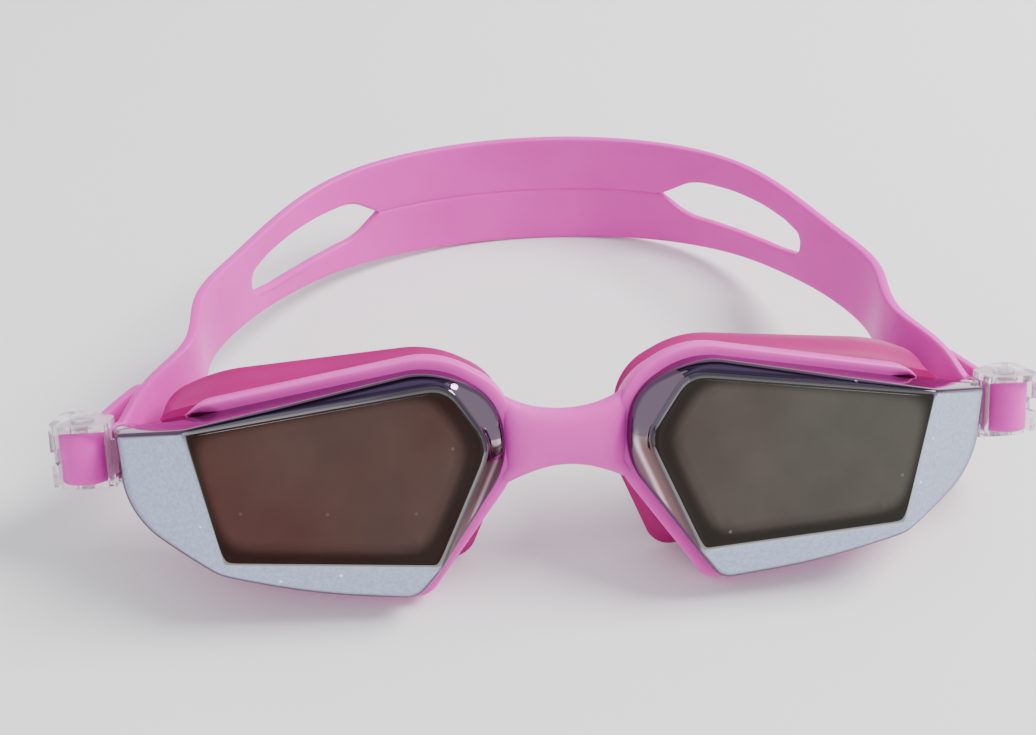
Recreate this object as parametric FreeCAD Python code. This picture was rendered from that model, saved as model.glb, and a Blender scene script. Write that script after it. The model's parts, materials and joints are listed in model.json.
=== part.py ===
import FreeCAD, Part
import math
import os

V = FreeCAD.Vector

# Swim goggles lying on a table, in millimetres. The front assembly is drawn in a face frame:
# x to the wearer's left, y towards the head, z up the face. It is then tipped back onto its
# eye seals, and the strap's back edge rests on the same table, at z = 0.

# ---- driving dimensions ----
face_tilt = 29.4            # how far the lenses lean back from upright, degrees

# one lens, drawn for +x: corners (x, z, corner radius), going round from the temple's top
pane = [(63.2, 3.4), (58.5, -19.7), (22.7, -22.5), (13.4, -1.8), (20.3, 8.9)]
facet_slopes = [36.0, 24.0, 46.0, 46.0, 50.0]   # each facet's lean back from the pane, degrees
rim_outline = [(76.4, 1.4, 1.0), (76.2, -14.0, 12.0), (61.5, -21.6, 88.0), (44.0, -27.0, 95.0),
               (26.6, -29.2, 4.0), (10.3, -6.9, 7.0), (11.0, 4.9, 7.0), (21.5, 11.4, 9.0)]
lens_wall = 1.7             # thickness of the lens shell
lens_depth = 8.6            # how far back the lens reaches at its nose end
lens_sweep = 4.0            # how much the lens's back edge sweeps to the temple, degrees
sweep_x = 10.0              # where along x that sweep starts
lens_solid_tip = 6.5        # length of the solid temple end of the lens

# soft frame
# outside of the soft rim, (x, z, corner radius), widest at the low nose corner
rim_edge = [(78.0, 3.0, 1.0), (77.4, -14.6, 13.0), (61.9, -22.3, 90.0), (44.0, -27.7, 97.0),
            (24.9, -30.6, 5.0), (8.2, -7.6, 8.0), (9.4, 6.4, 8.0), (21.2, 13.2, 10.0)]
rim_grip = 3.0              # how far the rim reaches forward round the lens
rim_lip = 1.6               # thickness of the lip behind the lens
rim_lip_width = 2.6         # how far that lip reaches in from the lens's edge
rim_end_gap = 3.9           # bare length behind the lens beyond the rim's lip, for its ears
band_end_gap = 7.4          # bare length of lens wall beyond the rim's outer band
bridge_front = 4.0          # the nose bridge's front face
bridge_back = 9.8           # and its back face
bridge_top = (2.4, 10.4, 5.6)       # height at the middle, then where it meets the rim (x, z)
bridge_bottom = (-7.4, 12.0, -12.4)
bridge_round = 1.2

# eye seals: the root meets the rim's lip, the lip of the seal meets the face
seal_root = [(10.6, -7.5, 7.0), (11.3, 4.8, 7.0), (21.5, 11.0, 8.0), (58.0, 6.2, 10.0),
             (70.3, 3.4, 4.0), (70.3, -12.0, 8.0), (56.0, -22.5, 16.0), (26.6, -27.6, 4.0)]
seal_edge = [(9.2, -9.0, 9.0), (10.2, 7.2, 8.0), (22.0, 13.2, 9.0), (60.0, 9.6, 9.0),
             (70.8, 5.0, 6.0), (70.4, -10.0, 11.0), (55.0, -23.8, 16.0), (17.0, -27.4, 5.0)]
seal_wall = 1.5
seal_reach = 5.8            # how far the seal's edge lies behind the rim at its nose end
seal_sweep = 6.0            # sweep of the seal's edge to the temple, degrees

# side clip: two plates joined by an outer wall and by the hinge barrel
hinge_x = 75.4
hinge_behind = 6.6          # hinge line behind the lens's back edge at its nose end
ear_root_behind = 1.9       # and the front of the ears' arms behind it
pin_radius = 0.8
pin_clearance = 0.05
barrel_radius = 1.9
ear_radius = 2.3
ear_thickness = 1.5
ear_gap = 0.35              # up-and-down play between ears and barrel
side_wall_gap = 0.35        # play between the ears and the clip's wall beside them
side_wall = 0.8
clip_ahead = 3.2            # clip's front ahead of the hinge line
clip_behind = 8.4           # and its back behind it
clip_corner = 3.2
plate_thickness = 1.2
lower_plate_setback = 3.2
outer_wall = 1.0
outer_wall_reach = 3.2      # how far behind the hinge line the outer wall goes
window_from_end = 2.2       # solid end of the outer wall behind its window
window_height = 2.4         # gap in the outer wall at mid height
strap_end_width = 9.4       # strap width inside the clip
strap_end_z = -3.5          # height of the strap's middle inside the clip
strap_gap = 0.15            # play between the strap and the plates
strap_thickness = 2.0

# strap post
post_radius = 2.1
post_behind = 1.4           # post behind the hinge line
post_end_radius = 1.2
post_head_radius = 1.9
post_head = 0.4
post_gap = 0.08
loop_play_in = 0.17         # play between the strap's loop and the wall beside the ears
loop_play_out = 0.02        # and between the loop and the outer wall
strand_angle = 35.0         # how far both strands lean in towards the head, degrees
strand_length = 7.0         # straight length of each strand behind the post

# release lever
lever_along = 3.4           # its pivot, along the tail strand from the post
lever_out = 3.35            # and out from the strand's middle
lever_pin_radius = 0.6
lever_barrel_radius = 1.3
lever_height = 5.2
lever_reach = 4.6
lever_thickness = 1.2
lever_bite = 0.12           # gap between the teeth and the strap
lever_teeth = 3
tooth_pitch = 0.9

# head strap: its middle line on the +x side, (x, y, height over the table, half width, and how
# far its width leans back from upright, degrees)
strap_line = [(67.1, 30.4, 23.7, 5.2, 24.1), (66.7, 43.1, 22.5, 6.9, 14.3), (62.5, 57.2, 20.7, 7.7, 9.0),
              (56.4, 71.9, 17.8, 9.2, 9.0), (45.8, 87.0, 15.4, 11.2, 9.0), (24.5, 99.3, 13.3, 12.4, 9.0),
              (0.0, 102.8, 12.75, 12.75, 9.0)]
strap_drift = 6.6           # how far the strap's back lies to +x
seam_radius = 17.6          # distance of the strap seam from the clip hinge
seam_gap = 0.6
strap_sink = 0.15           # depth pressed flat where the strap rests
slots = {1: (68.2, 97.6), -1: (61.3, 93.6)}     # each side's split: temple end and pointed tip (y)
slot_half_height = 4.8
tail_tip = (73.4, 32.8, 2.4)    # middle of the tail's free end, in the face frame
sew_tolerance = 0.001

# ---- helpers ----


def rounded_wire(corners, y=0.0):
    """Closed wire in the plane y, with an arc at each corner (x, z, radius)."""
    count = len(corners)
    points = [V(c[0], y, c[1]) for c in corners]
    cuts = []
    for i in range(count):
        to_last = points[i - 1].sub(points[i])
        to_next = points[(i + 1) % count].sub(points[i])
        half = to_last.getAngle(to_next) / 2
        room = 0.48 * min(to_last.Length, to_next.Length)
        cut = min(corners[i][2] / math.tan(half), room)
        radius = cut * math.tan(half)
        u, w = to_last.normalize(), to_next.normalize()
        middle = (u + w).normalize()
        centre = points[i] + middle * (radius / math.sin(half))
        cuts.append((points[i] + u * cut, centre - middle * radius, points[i] + w * cut))
    edges = []
    for i in range(count):
        start, top, end = cuts[i]
        edges.append(Part.Arc(start, top, end).toShape())
        edges.append(Part.makeLine(end, cuts[(i + 1) % count][0]))
    return Part.Wire(edges)


def inset(corners, distance):
    """The outline moved inwards by a distance, or outwards when it is negative."""
    count = len(corners)
    middle = V(sum(c[0] for c in corners) / count, sum(c[1] for c in corners) / count, 0)
    lines = []
    for i in range(count):
        a, b = corners[i], corners[(i + 1) % count]
        along = V(b[0] - a[0], b[1] - a[1], 0).normalize()
        inward = V(-along.y, along.x, 0)
        if (middle - V(a[0], a[1], 0)).dot(inward) < 0:
            inward = inward * -1
        lines.append((V(a[0], a[1], 0) + inward * distance, along))
    moved = []
    for i in range(count):
        p, u = lines[i - 1]
        q, w = lines[i]
        gap = q - p
        t = (gap.x * w.y - gap.y * w.x) / (u.x * w.y - u.y * w.x)
        at = p + u * t
        moved.append((at.x, at.y, max(corners[i][2] - distance, 0.6)))
    return moved


def prism(corners, y_from, y_to):
    """Solid of an outline, from one depth to another."""
    return Part.Face(rounded_wire(corners, y_from)).extrude(V(0, y_to - y_from, 0))


def beyond(point, normal, size=400.0):
    """Everything on the side of a plane that its normal points to."""
    box = Part.makeBox(size, size, size, V(-size / 2, -size / 2, 0))
    box.Placement = FreeCAD.Placement(point, FreeCAD.Rotation(V(0, 0, 1), normal))
    return box


def swept_plane(depth, angle=lens_sweep):
    """Point and normal of a plane at a depth at the nose end that sweeps back outwards."""
    lean = math.radians(angle)
    return V(sweep_x, depth, 0), V(-math.sin(lean), math.cos(lean), 0)


def between(shape, front, back):
    """The part of a shape between two swept planes."""
    point, normal = swept_plane(front)
    shape = shape.cut(beyond(point, normal * -1))
    point, normal = swept_plane(back)
    return shape.cut(beyond(point, normal))


def facet_plane(index, shift=0.0):
    """Plane of one lens facet, moved into the lens by a shift."""
    a = pane[index]
    b = pane[(index + 1) % len(pane)]
    along = V(b[0] - a[0], 0, b[1] - a[1]).normalize()
    out = along.cross(V(0, 1, 0))
    centre = V(sum(p[0] for p in pane) / len(pane), 0, sum(p[1] for p in pane) / len(pane))
    if out.dot(V(a[0], 0, a[1]) - centre) < 0:
        out = out * -1
    slope = math.radians(facet_slopes[index])
    normal = out * math.sin(slope) - V(0, 1, 0) * math.cos(slope)
    return V(a[0], 0, a[1]) - normal * shift, normal


def cylinder(x, y, z_from, z_to, radius):
    return Part.makeCylinder(radius, z_to - z_from, V(x, y, z_from))


def box(x_from, x_to, y_from, y_to, z_from, z_to):
    return Part.makeBox(x_to - x_from, y_to - y_from, z_to - z_from, V(x_from, y_from, z_from))


def mirrored(shape):
    return shape.mirror(V(0, 0, 0), V(1, 0, 0))


def clean(shape):
    """One tidy solid out of a boolean result."""
    shape = shape.removeSplitter()
    return shape.Solids[0] if len(shape.Solids) == 1 else shape


# ---- lens ----

tip_x = rim_outline[0][0]
rim_end_x = tip_x - rim_end_gap
hinge_y = lens_depth + hinge_behind


def lens_block(shift=0.0, back_shift=0.0):
    """The faceted block of the lens, or the hollow inside it when it is shifted inwards."""
    block = prism(inset(rim_outline, shift), shift, lens_depth + 20)
    point, normal = swept_plane(lens_depth + back_shift)
    block = block.cut(beyond(point, normal))
    for index in range(len(pane)):
        block = block.cut(beyond(*facet_plane(index, shift)))
    return block


upper_z = strap_end_z + strap_end_width / 2 + strap_gap     # underside of the top plate
lower_z = strap_end_z - strap_end_width / 2 - strap_gap     # upper side of the bottom plate
ear_levels = [(upper_z - ear_thickness, upper_z), (lower_z, lower_z + ear_thickness)]
barrel_low = ear_levels[1][1] + ear_gap
barrel_high = ear_levels[0][0] - ear_gap


def lens():
    hollow = lens_block(lens_wall, 1.0).cut(box(tip_x - lens_solid_tip, 200, -50, 50, -100, 100))
    shell = lens_block().cut(hollow)
    for low, high in ear_levels:
        root_x = tip_x - rim_end_gap + 0.3
        root_y = lens_depth + ear_root_behind
        arm = Part.makePolygon([V(root_x, root_y, low), V(tip_x - 0.5, root_y, low),
                                V(hinge_x + ear_radius, hinge_y, low),
                                V(hinge_x - ear_radius, hinge_y, low), V(root_x, root_y, low)])
        shell = shell.fuse(Part.Face(arm).extrude(V(0, 0, high - low)))
        shell = shell.fuse(cylinder(hinge_x, hinge_y, low, high, ear_radius))
    shell = shell.cut(cylinder(hinge_x, hinge_y, -50, 50, pin_radius))
    return clean(shell)


# ---- soft frame and eye seals ----

rim_back = lens_depth + rim_lip
seal_depth = rim_back + seal_reach


def rim_side():
    ring = between(prism(rim_edge, -5, 40), lens_depth - rim_grip, rim_back)
    band_end = box(tip_x - band_end_gap, 200, -50, 50, -100, 100)
    ring = ring.cut(band_end.cut(beyond(*swept_plane(lens_depth))))
    ring = ring.cut(box(rim_end_x, 200, -50, 50, -100, 100))
    opening = prism(inset(rim_outline, rim_lip_width), -10, 40)
    opening = opening.cut(box(rim_end_x - rim_lip_width, 200, -50, 50, -100, 100))
    return ring.cut(opening)


def bridge():
    ends = []
    arcs = []
    for middle, x, z in (bridge_top, bridge_bottom):
        ends.append((V(-x, bridge_front, z), V(x, bridge_front, z)))
        arcs.append(Part.Arc(ends[-1][0], V(0, bridge_front, middle), ends[-1][1]).toShape())
    sides = [Part.makeLine(ends[0][i], ends[1][i]) for i in (0, 1)]
    face = Part.Face(Part.Wire([arcs[0], sides[1], arcs[1], sides[0]]))
    solid = face.extrude(V(0, bridge_back - bridge_front, 0))
    long_edges = [e for e in solid.Edges if e.BoundBox.YLength < 1e-6 and e.BoundBox.XLength > bridge_top[1]]
    return solid.makeFillet(bridge_round, long_edges)


def soft_frame():
    side = rim_side()
    frame = side.fuse(mirrored(side)).fuse(bridge())
    block = lens_block()
    opening = prism(inset(rim_outline, rim_lip_width), -10, 40)
    for cutter in (block, opening):
        frame = frame.cut(cutter).cut(mirrored(cutter))
    return clean(frame)


def seal_wires(distance):
    wires = []
    for corners, depth, angle in ((seal_root, rim_back, lens_sweep), (seal_edge, seal_depth, seal_sweep)):
        wire = rounded_wire(inset(corners, distance), depth)
        wire.rotate(V(sweep_x, depth, 0), V(0, 0, 1), angle)
        wires.append(wire)
    return wires


def eye_seal():
    outer = Part.makeLoft(seal_wires(0.0), True, True)
    inner = Part.makeLoft(seal_wires(seal_wall), True, True)
    return clean(outer.cut(inner))


# ---- side clip, in the face frame ----

lean = math.radians(strand_angle)
strand = V(-math.sin(lean), math.cos(lean), 0)       # along the strands, towards the head
outward = V(math.cos(lean), math.sin(lean), 0)       # across them, away from the head
loop_reach = post_radius + post_gap + strap_thickness       # outside of the strap's loop
side_wall_x = hinge_x + ear_radius + side_wall_gap
post_x = side_wall_x + side_wall + loop_play_in + loop_reach
post_y = hinge_y + post_behind
clip_out_x = post_x + loop_reach + loop_play_out + outer_wall
clip_front_y = hinge_y - clip_ahead
clip_back_y = hinge_y + clip_behind
outer_wall_back_y = hinge_y + outer_wall_reach
post = V(post_x, post_y, 0)
loop_radius = loop_reach - strap_thickness / 2
tail_start = post + outward * loop_radius
lever_pivot = tail_start + strand * lever_along + outward * lever_out
mid_z = strap_end_z


def plate(z_from, z_to, front_y):
    front, back, out = front_y, clip_back_y, clip_out_x
    near = hinge_x + ear_radius + 0.5
    corners = [(near, -front, 0.8), (out, -front, clip_corner), (out, -back, 1.6),
               (lever_pivot.x - 2.4, -back, 1.2), (near, -(post_y + 2.2), 1.2)]
    face = Part.Face(rounded_wire(corners))
    face.rotate(V(0, 0, 0), V(1, 0, 0), 90)
    face.translate(V(0, 0, z_from))
    return face.extrude(V(0, 0, z_to - z_from))


def clip_body():
    top = plate(upper_z, upper_z + plate_thickness, clip_front_y)
    low = plate(lower_z - plate_thickness, lower_z, clip_front_y + lower_plate_setback)
    body = top.fuse(low)
    wall = box(clip_out_x - outer_wall, clip_out_x, clip_front_y + clip_corner * 0.6, outer_wall_back_y,
               lower_z - 0.2, upper_z + 0.2)
    window = box(clip_out_x - 2 * outer_wall, clip_out_x + 1, clip_front_y, outer_wall_back_y - window_from_end,
                 mid_z - window_height / 2, mid_z + window_height / 2)
    body = body.fuse(wall.cut(window))
    barrel = cylinder(hinge_x, hinge_y, barrel_low, barrel_high, barrel_radius)
    web = box(hinge_x, hinge_x + ear_radius + 1.0, hinge_y - barrel_radius + 0.3, hinge_y - 0.3,
              barrel_low, barrel_high)
    side = box(side_wall_x, side_wall_x + side_wall, hinge_y - barrel_radius - 0.6,
               hinge_y - 0.3, lower_z - 0.2, upper_z + 0.2)
    body = body.fuse(barrel).fuse(web).fuse(side)
    body = body.cut(cylinder(hinge_x, hinge_y, -50, 50, pin_radius + pin_clearance))
    body = body.cut(cylinder(post_x, post_y, -50, 50, post_end_radius))
    body = body.cut(cylinder(lever_pivot.x, lever_pivot.y, -50, 50, lever_pin_radius))
    return clean(body)


def strap_post():
    body = cylinder(post_x, post_y, lower_z, upper_z, post_radius)
    ends = cylinder(post_x, post_y, lower_z - plate_thickness, upper_z + plate_thickness, post_end_radius)
    head = cylinder(post_x, post_y, upper_z + plate_thickness, upper_z + plate_thickness + post_head,
                    post_head_radius)
    return clean(body.fuse(ends).fuse(head))


def hinge_pin():
    return cylinder(hinge_x, hinge_y, ear_levels[1][0], ear_levels[0][1], pin_radius)


def lever_pin():
    return cylinder(lever_pivot.x, lever_pivot.y, lower_z - plate_thickness, upper_z + plate_thickness,
                    lever_pin_radius)


def release_lever():
    low, high = mid_z - lever_height / 2, mid_z + lever_height / 2
    body = cylinder(0, 0, low, high, lever_barrel_radius)
    # drawn with the strand along +y and the strap on the -x side, then turned into place
    body = body.fuse(box(lever_barrel_radius - lever_thickness, lever_barrel_radius, 0, lever_reach, low, high))
    strap_face = strap_thickness / 2 - lever_out + lever_bite
    for tooth in range(lever_teeth):
        y = -0.4 - tooth * tooth_pitch
        profile = Part.makePolygon([V(strap_face, y, low), V(0.3, y + 0.1, low),
                                    V(0.3, y - tooth_pitch, low), V(strap_face, y, low)])
        body = body.fuse(Part.Face(profile).extrude(V(0, 0, high - low)))
    body = body.fuse(box(0.2, lever_barrel_radius, -0.4 - lever_teeth * tooth_pitch, 0, low, high))
    body = body.cut(cylinder(0, 0, -50, 50, lever_pin_radius + pin_clearance))
    body.rotate(V(0, 0, 0), V(0, 0, 1), strand_angle)
    body.translate(V(lever_pivot.x, lever_pivot.y, 0))
    return clean(body)


# ---- from the face frame to the table ----

def tipped(shape, lift):
    """A face-frame shape leaned back and set down on the table."""
    copy = shape.copy()
    copy.rotate(V(0, 0, 0), V(1, 0, 0), -face_tilt)
    copy.translate(V(0, 0, lift))
    return copy


def tipped_point(point, lift):
    turn = FreeCAD.Rotation(V(1, 0, 0), -face_tilt)
    return turn.multVec(point) + V(0, 0, lift)


def tipped_direction(direction):
    return FreeCAD.Rotation(V(1, 0, 0), -face_tilt).multVec(direction)


# ---- strap ----

def section(centre, along, upright, half_width):
    """Rectangular strap section: thickness across the path, half width up and down."""
    across = along.cross(upright).normalize() * (strap_thickness / 2)
    up = upright * half_width
    corners = [centre + across + up, centre - across + up, centre - across - up, centre + across - up]
    return Part.makePolygon(corners + [corners[0]])


def drifted(x, y):
    """The strap's sideways drift, which grows with the square of the distance back."""
    back = strap_line[-1][1]
    return x + strap_drift * (y / back) ** 2


def band_path():
    right = [(drifted(x, y), y, z, w, back) for x, y, z, w, back in strap_line]
    left = [(drifted(-x, y), y, z, w, back) for x, y, z, w, back in reversed(strap_line[:-1])]
    rows = right + left
    points = [V(row[0], row[1], row[2] - strap_sink) for row in rows]
    lengths = [0.0]
    for a, b in zip(points, points[1:]):
        lengths.append(lengths[-1] + (b - a).Length)
    curve = Part.BSplineCurve()
    curve.interpolate(Points=points, Parameters=lengths)
    shape = Part.BSplineCurve()
    shape.interpolate(Points=[V(0, row[3], row[4]) for row in rows], Parameters=lengths)
    return curve, shape, lengths


def leaning(angle):
    """The strap's width direction, leaned back from upright by an angle in degrees."""
    return V(0, math.sin(math.radians(angle)), math.cos(math.radians(angle)))


band_stations = 3           # sections between two points of the strap's line


def head_strap(hinges):
    """The band from seam to seam, with its two splits, resting on its back edge."""
    curve, shape, lengths = band_path()
    wires = []
    stations = [lengths[0]]
    for a, b in zip(lengths, lengths[1:]):
        stations += [a + (b - a) * (i + 1) / band_stations for i in range(band_stations)]
    for station in stations:
        at = curve.value(station)
        along = curve.tangent(station)[0]
        row = shape.value(station)
        half, up = row.y, leaning(row.z)
        upright = (up - along * along.dot(up)).normalize()
        wires.append(section(at, along, upright, half))
    band = Part.makeLoft(wires, True, False)
    for side in (1, -1):
        band = band.cut(split(side))
    for centre, axis in hinges:
        band = band.cut(seam_cylinder(centre, axis, seam_radius + seam_gap))
    return clean(band.cut(beyond(V(0, 0, 0), V(0, 0, -1))))


def line_height(y):
    """Height of the strap's middle line at a distance back."""
    for a, b in zip(strap_line, strap_line[1:]):
        if y <= b[1]:
            return a[2] + (b[2] - a[2]) * (y - a[1]) / (b[1] - a[1])
    return strap_line[-1][2]


def split(side):
    """A long slot through the band, round at the temple end and pointed at the back."""
    slot_from_y, slot_to_y = slots[side]
    length = slot_to_y - slot_from_y
    outline = [(0.0, -0.12, 0.5), (0.02, 0.42, 2.2), (0.42, 0.86, 20.0), (0.84, 0.92, 3.0),
               (1.0, 0.0, 0.4), (0.86, -0.98, 3.0), (0.5, -1.02, 20.0), (0.04, -0.6, 2.0)]
    corners = []
    for share, lift, radius in outline:
        y = slot_from_y + share * length
        corners.append((y, line_height(y) + lift * slot_half_height, radius))
    wire = rounded_wire(corners)
    wire.rotate(V(0, 0, 0), V(0, 0, 1), 90)
    return Part.Face(wire).extrude(V(120.0 * side, 0, 0))


def seam_cylinder(centre, axis, radius):
    return Part.makeCylinder(radius, 200, centre - axis * 100, axis)


def ribbon():
    """The strap round the post, and both strands inside the clip, in the face frame."""
    low, high = mid_z - strap_end_width / 2, mid_z + strap_end_width / 2
    ring = cylinder(post_x, post_y, low, high, loop_radius + strap_thickness / 2)
    ring = ring.cut(cylinder(post_x, post_y, low - 1, high + 1, loop_radius - strap_thickness / 2))
    ring = ring.cut(beyond(post, strand))
    band = ring
    for sign in (-1, 1):
        start = post + outward * (sign * loop_radius)
        strip = Part.makeBox(strap_thickness, strand_length, high - low, V(-strap_thickness / 2, 0, low))
        strip.rotate(V(0, 0, 0), V(0, 0, 1), strand_angle)
        strip.translate(start)
        band = band.fuse(strip)
    return band


def free_strand(leaving, path_points, half_widths, uprights):
    """Strap along a path. It starts at the second point, square to the direction it leaves in, so
    that its first face is the loop's own end face; the point before only steers the path."""
    curve = Part.BSplineCurve()
    curve.interpolate(path_points)
    wires = []
    for point, half, upright in zip(path_points[1:], half_widths[1:], uprights[1:]):
        along = curve.tangent(curve.parameter(point))[0] if wires else leaving
        straight = (upright - along * upright.dot(along)).normalize()
        wires.append(section(point, along, straight, half))
    return Part.makeLoft(wires, True, False)


def sewn(body, strand_piece, at):
    """Both solids as one where they meet face to face at a point: that face of each is left out
    and the faces that remain are sewn together along its edges."""
    faces = [face for shape in (body, strand_piece) for face in shape.Faces
             if face.CenterOfMass.distanceToPoint(at) > sew_tolerance]
    assert len(faces) == len(body.Faces) + len(strand_piece.Faces) - 2
    shell = Part.Compound(faces)
    shell.sewShape(sew_tolerance)
    solid = Part.Solid(shell.Shells[0])
    return solid if solid.Volume > 0 else solid.reversed()


def strap_end(side, lift, hinge):
    """One end of the strap: the loop round the post, the strand back to the seam and the tail."""
    centre, axis = hinge
    loop = ribbon()
    main_exit = post - outward * loop_radius + strand * strand_length + V(0, 0, mid_z)
    tail_exit = tail_start + strand * strand_length + V(0, 0, mid_z)
    leaving = tipped_direction(V(strand.x * side, strand.y, 0))
    tilt_up = tipped_direction(V(0, 0, 1))
    half = strap_end_width / 2
    if side < 0:
        loop = mirrored(loop)
    loop = tipped(loop, lift)

    def placed(point):
        return tipped_point(V(point.x * side, point.y, point.z), lift)

    first, second = strap_line[0], strap_line[1]
    joint = V(drifted(first[0] * side, first[1]), first[1], first[2])
    after = V(drifted(second[0] * side, second[1]), second[1], second[2])
    start = placed(main_exit)
    before = placed(main_exit - strand * 1.5)
    gap = joint - start
    middle = start + gap * 0.5 + V(0.0, 0, 0.4)
    main = free_strand(leaving, [before, start, middle, joint, after],
                       [half, half, half, first[3], second[3]],
                       [tilt_up, tilt_up, (tilt_up + leaning(first[4])).normalize(), leaning(first[4]),
                        leaning(second[4])])
    tip = placed(V(*tail_tip))
    tail_from = placed(tail_exit)
    tail_before = placed(tail_exit - strand * 1.5)
    tail = free_strand(leaving, [tail_before, tail_from, tail_from + (tip - tail_from) * 0.5, tip],
                       [half, half, half, half - 0.4], [tilt_up] * 4)
    main = main.common(seam_cylinder(centre, axis, seam_radius))
    return sewn(sewn(clean(loop), main, start), tail, tail_from)


# ---- assemble ----

face_parts = {
    "soft_frame": soft_frame(),
    "eye_seal_left": eye_seal(),
    "lens_left": lens(),
    "hinge_pin_left": hinge_pin(),
    "side_clip_left": clip_body(),
    "strap_post_left": strap_post(),
    "release_lever_left": release_lever(),
    "lever_pin_left": lever_pin(),
}
for name in list(face_parts):
    if name.endswith("_left"):
        face_parts[name.replace("_left", "_right")] = mirrored(face_parts[name])

front = Part.makeCompound(list(face_parts.values()))
lowest = tipped(front, 0.0).optimalBoundingBox().ZMin
lift = -lowest
hinges = {}
for side, name in ((1, "left"), (-1, "right")):
    hinges[name] = (tipped_point(V(side * hinge_x, hinge_y, mid_z), lift), tipped_direction(V(0, 0, 1)))

parts = {name: tipped(shape, lift) for name, shape in face_parts.items()}
parts["head_strap"] = head_strap(list(hinges.values()))
parts["strap_end_left"] = strap_end(1, lift, hinges["left"])
parts["strap_end_right"] = strap_end(-1, lift, hinges["right"])

whole = Part.makeCompound(list(parts.values())).optimalBoundingBox()
shift = V(-(whole.XMin + whole.XMax) / 2, -(whole.YMin + whole.YMax) / 2, -whole.ZMin)

os.makedirs("parts", exist_ok=True)
for name, shape in parts.items():
    shape.translate(shift)
    assert shape.isValid(), name
    shape.exportStep("parts/" + name + ".step")
    size = shape.optimalBoundingBox()
    print("%-20s solids %d volume %8.1f box %6.1f %6.1f %6.1f to %6.1f %6.1f %6.1f" % (
        name, len(shape.Solids), shape.Volume, size.XMin, size.YMin, size.ZMin,
        size.XMax, size.YMax, size.ZMax))
for name, (centre, axis) in hinges.items():
    at = centre + shift
    print("clip hinge", name, [round(c, 3) for c in at], [round(c, 5) for c in axis])
    side = 1 if name == "left" else -1
    pivot = tipped_point(V(side * lever_pivot.x, lever_pivot.y, mid_z), lift) + shift
    print("lever pivot", name, [round(c, 3) for c in pivot])
print("shift", [round(c, 3) for c in shift], "lift", round(lift, 3))
print("whole", round(whole.XLength, 2), round(whole.YLength, 2), round(whole.ZLength, 2))
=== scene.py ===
import json
import math

import bmesh
import bpy
import numpy as np
from mathutils import Matrix, Vector


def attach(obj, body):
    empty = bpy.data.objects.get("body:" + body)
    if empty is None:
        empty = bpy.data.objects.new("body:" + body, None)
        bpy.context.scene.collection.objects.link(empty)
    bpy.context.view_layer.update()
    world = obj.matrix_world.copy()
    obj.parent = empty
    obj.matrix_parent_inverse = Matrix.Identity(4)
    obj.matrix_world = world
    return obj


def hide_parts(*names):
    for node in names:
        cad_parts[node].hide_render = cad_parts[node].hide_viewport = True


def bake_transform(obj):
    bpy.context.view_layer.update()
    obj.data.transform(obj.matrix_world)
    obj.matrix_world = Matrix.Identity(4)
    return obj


# Swim goggles resting on a table. Shapes are worked out in millimetres in the face frame (x to the
# wearer's left, y towards the head, z up the face) and then leaned back and set down in metres.

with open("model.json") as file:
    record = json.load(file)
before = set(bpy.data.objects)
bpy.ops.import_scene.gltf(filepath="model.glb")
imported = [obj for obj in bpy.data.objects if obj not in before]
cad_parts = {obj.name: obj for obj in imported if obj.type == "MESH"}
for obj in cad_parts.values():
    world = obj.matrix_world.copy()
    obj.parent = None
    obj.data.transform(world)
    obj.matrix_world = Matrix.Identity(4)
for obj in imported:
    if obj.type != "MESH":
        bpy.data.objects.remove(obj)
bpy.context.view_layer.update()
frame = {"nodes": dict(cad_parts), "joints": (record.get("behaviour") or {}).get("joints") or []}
nodes = frame["nodes"]

# ---- the face frame, found from the left clip's hinge ----

MM = 0.001
HINGE_IN_FACE = (75.4, 15.2, -3.5)
left_hinge = next(joint for joint in frame["joints"] if joint["name"] == "clip_hinge_left")
face_up = np.array(left_hinge["axis"], float)
face_up /= np.linalg.norm(face_up)
face_side = np.array([1.0, 0.0, 0.0])
face_back = np.cross(face_up, face_side)
face_origin = np.array(left_hinge["pos_m"], float) / MM - (
    HINGE_IN_FACE[0] * face_side + HINGE_IN_FACE[1] * face_back + HINGE_IN_FACE[2] * face_up)
face_tilt = math.degrees(math.asin(face_up[1]))


def to_table(points):
    """Face-frame millimetres to millimetres over the table: x, y and z along the frame's three axes."""
    points = np.asarray(points, float)
    return (face_origin + points[..., :1] * face_side + points[..., 1:2] * face_back
            + points[..., 2:3] * face_up)


# ---- sizes, in millimetres ----

pane = np.array([(63.2, 3.4), (58.5, -19.7), (22.7, -22.5), (13.4, -1.8), (20.3, 8.9)])
facet_slopes = np.radians([36.0, 24.0, 46.0, 46.0, 50.0])
lens_corners = [(76.4, 1.4, 1.0), (76.2, -14.0, 12.0), (61.5, -21.6, 88.0), (44.0, -27.0, 95.0),
                (26.6, -29.2, 4.0), (10.3, -6.9, 13.0), (11.0, 4.9, 10.5), (21.5, 11.4, 15.0)]
rim_corners = [(78.0, 3.0, 1.0), (77.4, -14.6, 13.0), (61.9, -22.9, 90.0), (44.0, -28.5, 97.0),
               (24.9, -30.6, 5.0), (8.2, -7.6, 14.0), (9.4, 6.4, 11.0), (21.2, 13.2, 16.0)]
root_corners = [(10.6, -7.5, 11.0), (11.3, 4.8, 9.5), (21.5, 11.0, 13.0), (58.0, 6.2, 26.0),
                (70.3, 3.4, 4.0), (70.3, -12.0, 8.0), (56.0, -22.5, 16.0), (26.6, -27.6, 4.0)]
edge_corners = [(9.2, -9.0, 12.0), (10.2, 7.2, 10.5), (22.0, 13.2, 19.0), (60.0, 9.6, 30.0),
                (70.8, 5.0, 8.0), (70.4, -10.0, 11.0), (55.0, -23.8, 16.0), (17.0, -27.4, 5.0)]
lens_middle = np.array([40.0, -7.5])
lens_wall = 1.7
lens_depth, lens_sweep = 8.6, math.tan(math.radians(4.0))
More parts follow.
